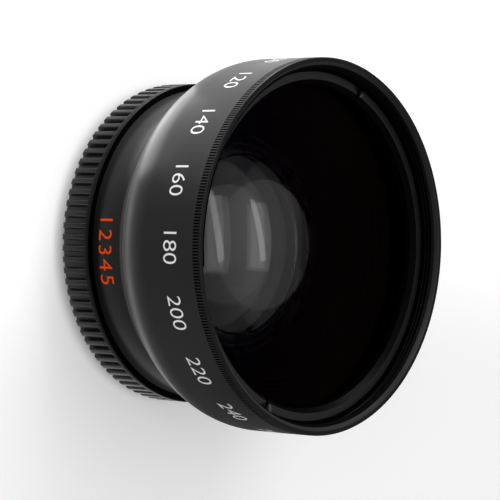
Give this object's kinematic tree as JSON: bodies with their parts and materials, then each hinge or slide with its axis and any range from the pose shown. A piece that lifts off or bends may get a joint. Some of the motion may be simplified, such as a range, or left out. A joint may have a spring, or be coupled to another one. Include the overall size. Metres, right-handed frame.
{
  "type": "wide-angle conversion lens",
  "caption": "Screw-on wide-angle conversion lens with a ribbed close-up section behind.",
  "frame": {"origin": "centre of the rear end, on the face that the lens stands on", "axes": "+Z along the optical axis, from the camera side towards the scene; X and Y across it"},
  "size_m": [0.0648, 0.0648, 0.0379],
  "materials": {
    "black_anodised": "black anodised, satin",
    "black_grip": "black anodised, ribbed grip",
    "ring_black": "black anodised, satin",
    "lens_glass": "polished, coated"
  },
  "bodies": {
    "close_up_section": {"macro_housing": "black_grip", "macro_element": "lens_glass", "macro_retaining_ring": "ring_black"},
    "wide_glass": {"front_element": "lens_glass", "inner_element": "lens_glass"},
    "wide_section": {"front_housing": "black_anodised", "front_retaining_ring": "ring_black", "inner_retaining_ring": "ring_black"}
  },
  "joints": [
    {"name": "unscrew_lift", "type": "slide", "parent": "close_up_section", "child": "wide_glass", "axis": [0, 0, 1], "range_m": [0, 0.00225]},
    {"name": "unscrew_turn", "type": "hinge", "parent": "wide_glass", "child": "wide_section", "pos_m": [0, 0, 0.0084], "axis": [0, 0, 1], "range_deg": [0, 1080]}
  ],
  "couplings": [
    {"joint": "unscrew_lift", "follows": "unscrew_turn", "m_per_rad": 0.00011936}
  ]
}
